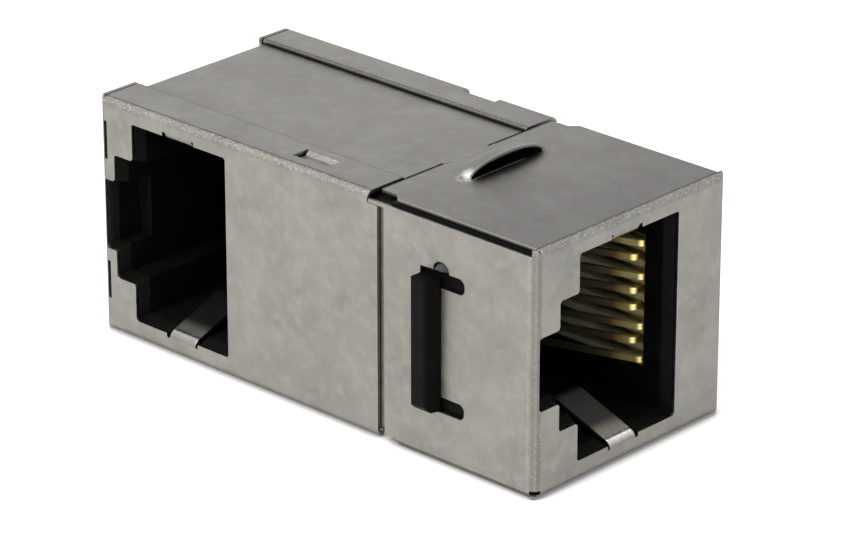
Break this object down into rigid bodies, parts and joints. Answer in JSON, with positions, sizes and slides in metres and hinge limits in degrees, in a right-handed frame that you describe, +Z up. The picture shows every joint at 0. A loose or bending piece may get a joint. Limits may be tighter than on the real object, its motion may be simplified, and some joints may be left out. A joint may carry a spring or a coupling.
{
  "type": "keystone jack",
  "caption": "Shielded keystone jack coupler with a modular port in its front face and a second one turned 90 degrees in its left side, in a folded sheet-metal shell.",
  "frame": {"origin": "bottom centre of the box round the whole part, on the plane of the front shield's bottom flap", "axes": "+Y runs back from the front port's face along the body, +X to the right as seen from the front, +Z up"},
  "size_m": [0.0176, 0.0342, 0.0157],
  "materials": {
    "shield_metal": "nickel-plated folded sheet, satin with a slightly warm, mottled sheen",
    "housing_plastic": "black moulded thermoplastic, satin",
    "catch_plastic": "black moulded thermoplastic, fine matt texture",
    "carrier_plastic": "olive-brown moulded comb",
    "board_laminate": "green solder mask over glass laminate",
    "contact_metal": "gold-plated spring wire, polished"
  },
  "bodies": {
    "root": {"front_shield": "shield_metal", "side_port_cover": "shield_metal", "right_cover": "shield_metal", "rear_frame": "shield_metal", "front_housing": "housing_plastic", "side_housing": "housing_plastic", "left_catch": "catch_plastic", "right_catch": "catch_plastic", "front_contact_carrier": "carrier_plastic", "side_contact_carrier": "carrier_plastic", "circuit_board": "board_laminate", "insulating_cap": "housing_plastic", "front_contact_1": "contact_metal", "front_contact_2": "contact_metal", "front_contact_3": "contact_metal", "front_contact_4": "contact_metal", "front_contact_5": "contact_metal", "front_contact_6": "contact_metal", "front_contact_7": "contact_metal", "front_contact_8": "contact_metal", "side_contact_1": "contact_metal", "side_contact_2": "contact_metal", "side_contact_3": "contact_metal", "side_contact_4": "contact_metal", "side_contact_5": "contact_metal", "side_contact_6": "contact_metal", "side_contact_7": "contact_metal", "side_contact_8": "contact_metal"}
  },
  "joints": []
}
